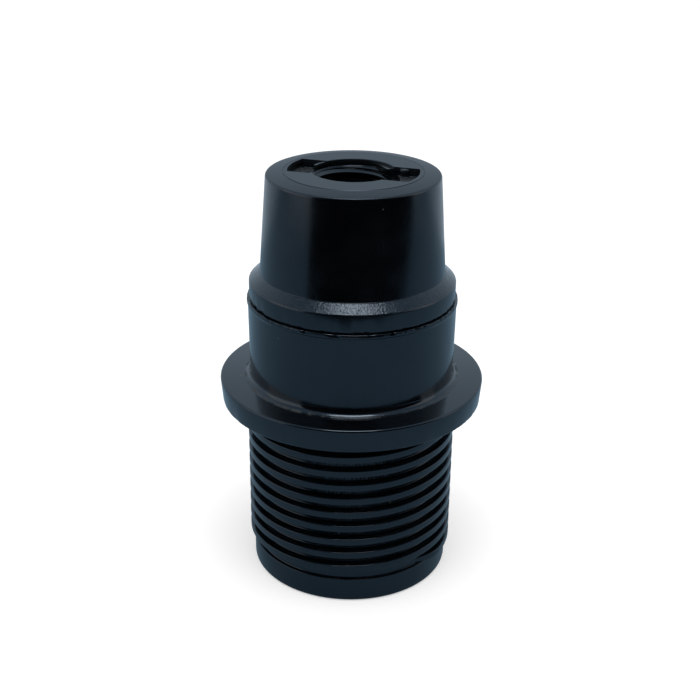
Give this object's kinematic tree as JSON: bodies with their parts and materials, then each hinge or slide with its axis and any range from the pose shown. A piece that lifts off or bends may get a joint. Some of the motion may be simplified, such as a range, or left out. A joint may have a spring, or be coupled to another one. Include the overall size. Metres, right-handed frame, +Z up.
{
  "type": "lamp holder",
  "caption": "Moulded lamp holder for small screw lamps, with a threaded skirt, a seating flange and a cap with a threaded entry.",
  "frame": {"origin": "centre of the mouth rim, where the lamp goes in, on the axis", "axes": "+Z runs up the axis from the mouth to the threaded entry in the cap, -Y is the front, +X is to its right"},
  "size_m": [0.0346, 0.0345, 0.0546],
  "materials": {
    "moulded_phenolic": "compression moulded phenolic, black with a cool sheen, satin to glossy",
    "steatite": "pressed and fired steatite, unglazed, matt off-white",
    "nickel_plated_brass": "rolled sheet, nickel plated, semi-bright",
    "turned_brass": "turned brass, bright",
    "sheet_brass": "stamped brass sheet, satin",
    "zinc_plated_steel": "zinc plated steel, bright",
    "spring_steel": "drawn spring wire",
    "rivet_brass": "brass wire, headed"
  },
  "bodies": {
    "skirt": {"threaded_skirt": "moulded_phenolic"},
    "insert": {"ceramic_insert": "steatite", "screw_shell": "nickel_plated_brass", "live_terminal": "sheet_brass", "neutral_terminal": "sheet_brass", "live_terminal_rivet": "rivet_brass", "neutral_shell_rivet": "rivet_brass", "blank_shell_rivet": "rivet_brass", "contact_spring": "spring_steel"},
    "cap": {"entry_cap": "moulded_phenolic"},
    "contact": {"contact_pin": "turned_brass"},
    "live_washers": {"live_clamp_washer": "zinc_plated_steel", "live_lock_washer": "spring_steel"},
    "live_screw": {"live_terminal_screw": "zinc_plated_steel"},
    "neutral_washers": {"neutral_clamp_washer": "zinc_plated_steel", "neutral_lock_washer": "spring_steel"},
    "neutral_screw": {"neutral_terminal_screw": "zinc_plated_steel"}
  },
  "joints": [
    {"name": "cap_turn", "type": "hinge", "parent": "skirt", "child": "insert", "pos_m": [0, 0, 0.028], "axis": [0, 0, 1], "range_deg": [0, 1080]},
    {"name": "cap_lift", "type": "slide", "parent": "insert", "child": "cap", "axis": [0, 0, 1], "range_m": [0, 0.006]},
    {"name": "contact_press", "type": "slide", "parent": "insert", "child": "contact", "axis": [0, 0, 1], "range_m": [0, 0.0014], "stiffness_N_per_m": 900, "springref_m": -0.0015, "deforming": ["contact_spring"]},
    {"name": "live_clamp_lift", "type": "slide", "parent": "insert", "child": "live_washers", "axis": [0, 0, 1], "range_m": [0, 0.002]},
    {"name": "live_screw_turn", "type": "hinge", "parent": "live_washers", "child": "live_screw", "pos_m": [0, 0.0061, 0.0345], "axis": [0, 0, 1], "range_deg": [0, 1440]},
    {"name": "neutral_clamp_lift", "type": "slide", "parent": "insert", "child": "neutral_washers", "axis": [0, 0, 1], "range_m": [0, 0.002]},
    {"name": "neutral_screw_turn", "type": "hinge", "parent": "neutral_washers", "child": "neutral_screw", "pos_m": [-0.0028, -0.0059, 0.0345], "axis": [0, 0, 1], "range_deg": [0, 1440]}
  ],
  "couplings": [
    {"joint": "cap_turn", "follows": "cap_lift", "rad_per_m": 3141.6},
    {"joint": "live_screw_turn", "follows": "live_clamp_lift", "rad_per_m": 12566},
    {"joint": "neutral_screw_turn", "follows": "neutral_clamp_lift", "rad_per_m": 12566}
  ]
}
